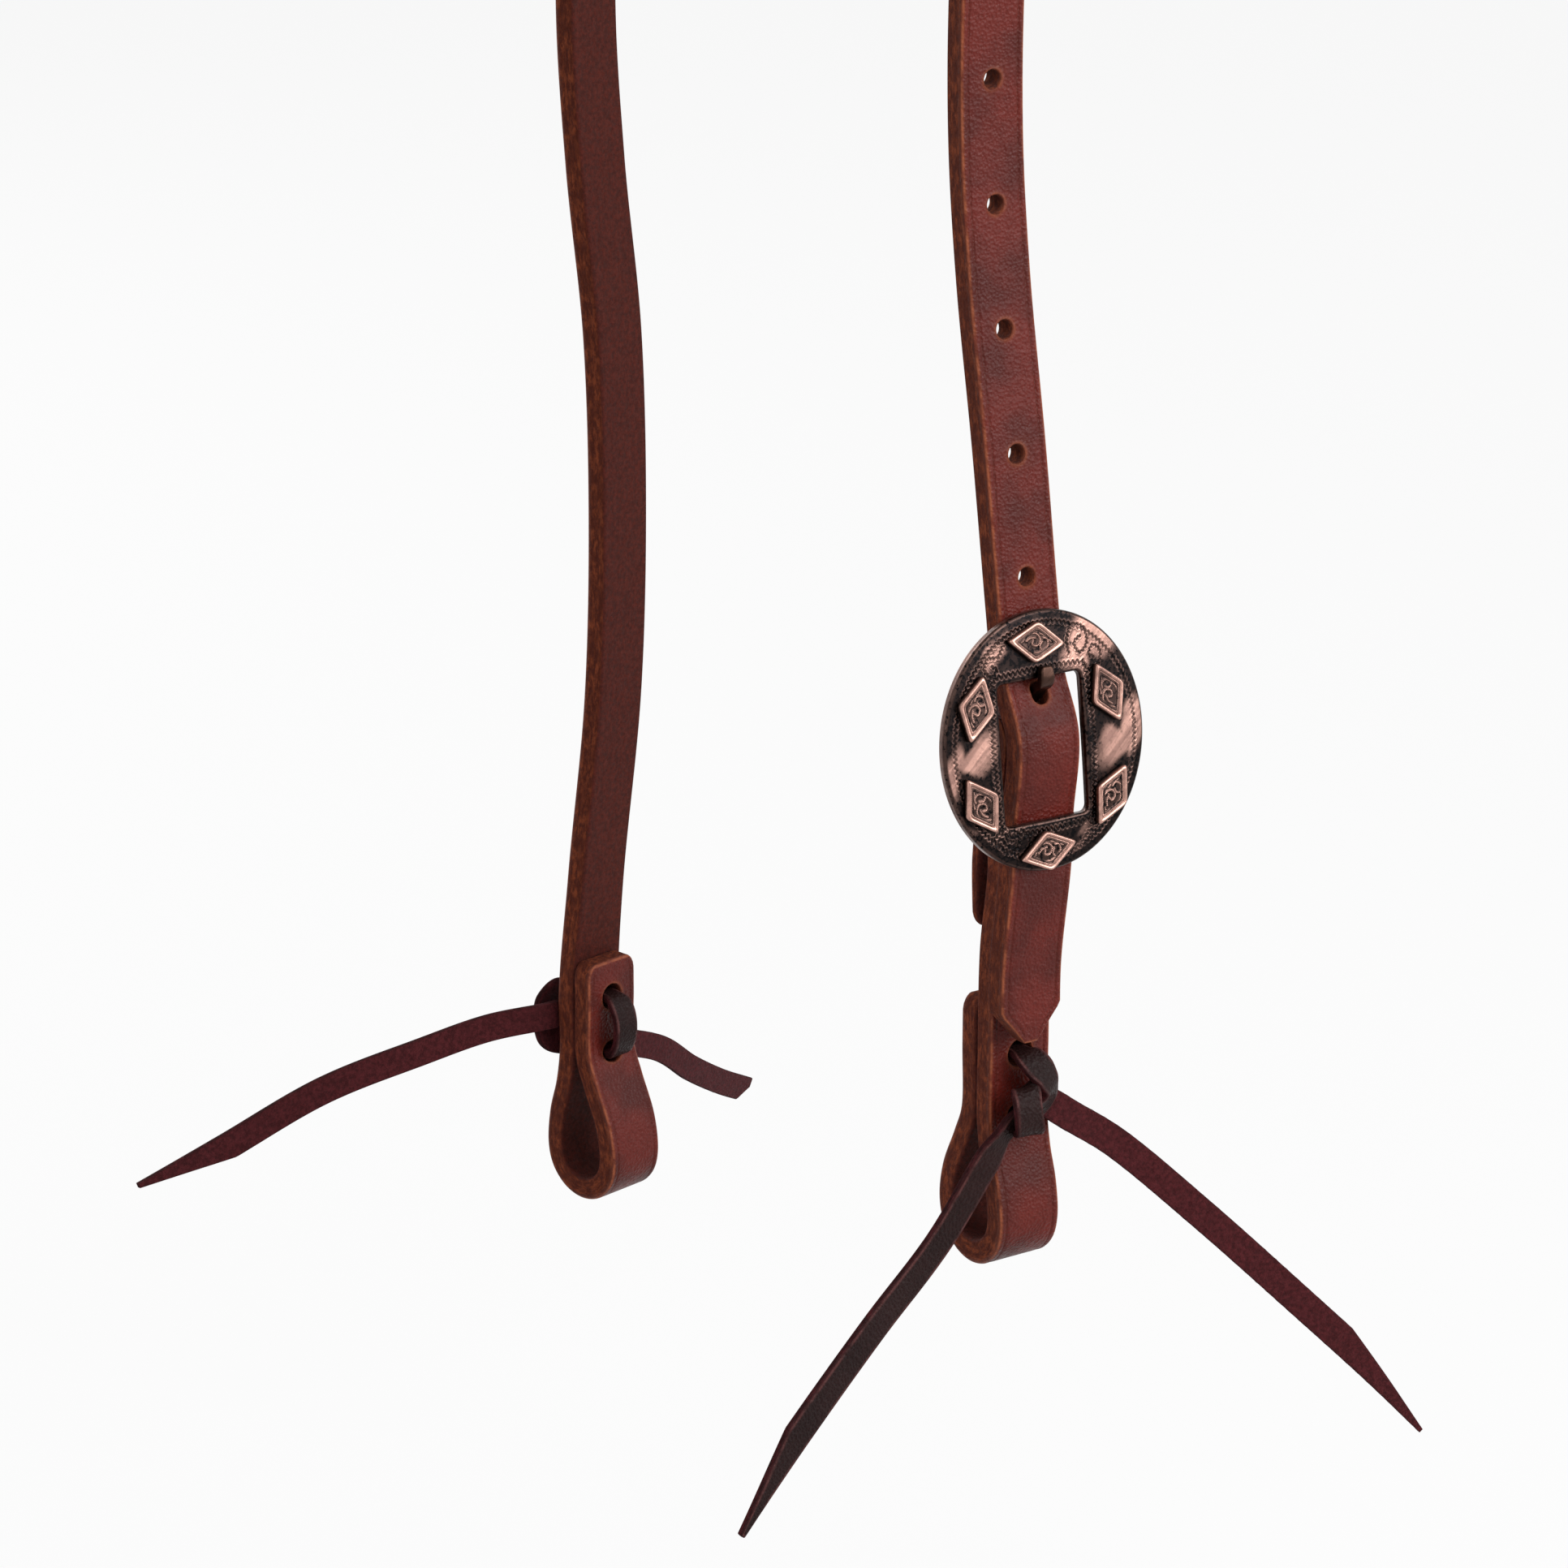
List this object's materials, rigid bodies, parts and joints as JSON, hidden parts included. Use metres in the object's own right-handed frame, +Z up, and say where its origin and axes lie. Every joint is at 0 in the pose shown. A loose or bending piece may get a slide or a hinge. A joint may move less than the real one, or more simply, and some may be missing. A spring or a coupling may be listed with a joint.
{
  "type": "western headstall",
  "caption": "Bridle headstall: slit-ear strap over the poll, near cheek on a domed oval buckle, and folded bit loops tied with latigo laces",
  "frame": {"origin": "under the middle of the crown strap, where it rests on the horse's poll", "axes": "+Z up; the cheeks hang down -Z, the near (left) cheek at -Y with its buckle facing -Y, the off (right) cheek at +Y; X runs across the width of the straps"},
  "size_m": [0.2312, 0.2728, 0.5376],
  "materials": {
    "harness_leather": "oiled, medium oil red-brown, raw cut edges orange-brown",
    "latigo_leather": "waxed dark burgundy latigo, near-black grain",
    "antique_copper": "antiqued copper plate, brushed high spots, black recesses",
    "overlay_copper": "antiqued copper, polished rims",
    "dark_copper": "dark antiqued copper"
  },
  "bodies": {
    "crown": {"crown_strap": "harness_leather", "buckle_plate": "antique_copper", "buckle_bar": "dark_copper", "diamond_overlay_1": "overlay_copper", "diamond_overlay_2": "overlay_copper", "diamond_overlay_3": "overlay_copper", "diamond_overlay_4": "overlay_copper", "diamond_overlay_5": "overlay_copper", "diamond_overlay_6": "overlay_copper", "off_tie_lace": "latigo_leather"},
    "near_cheek": {"cheek_piece": "harness_leather", "near_tie_lace": "latigo_leather"},
    "tongue": {"buckle_tongue": "dark_copper"}
  },
  "joints": [
    {"name": "cheek_swing", "type": "hinge", "parent": "crown", "child": "near_cheek", "pos_m": [0, -0.083, -0.347], "axis": [1, 0, 0], "range_deg": [0, 45]},
    {"name": "tongue_swing", "type": "hinge", "parent": "crown", "child": "tongue", "pos_m": [0, -0.083, -0.347], "axis": [1, 0, 0], "range_deg": [0, 6]}
  ]
}
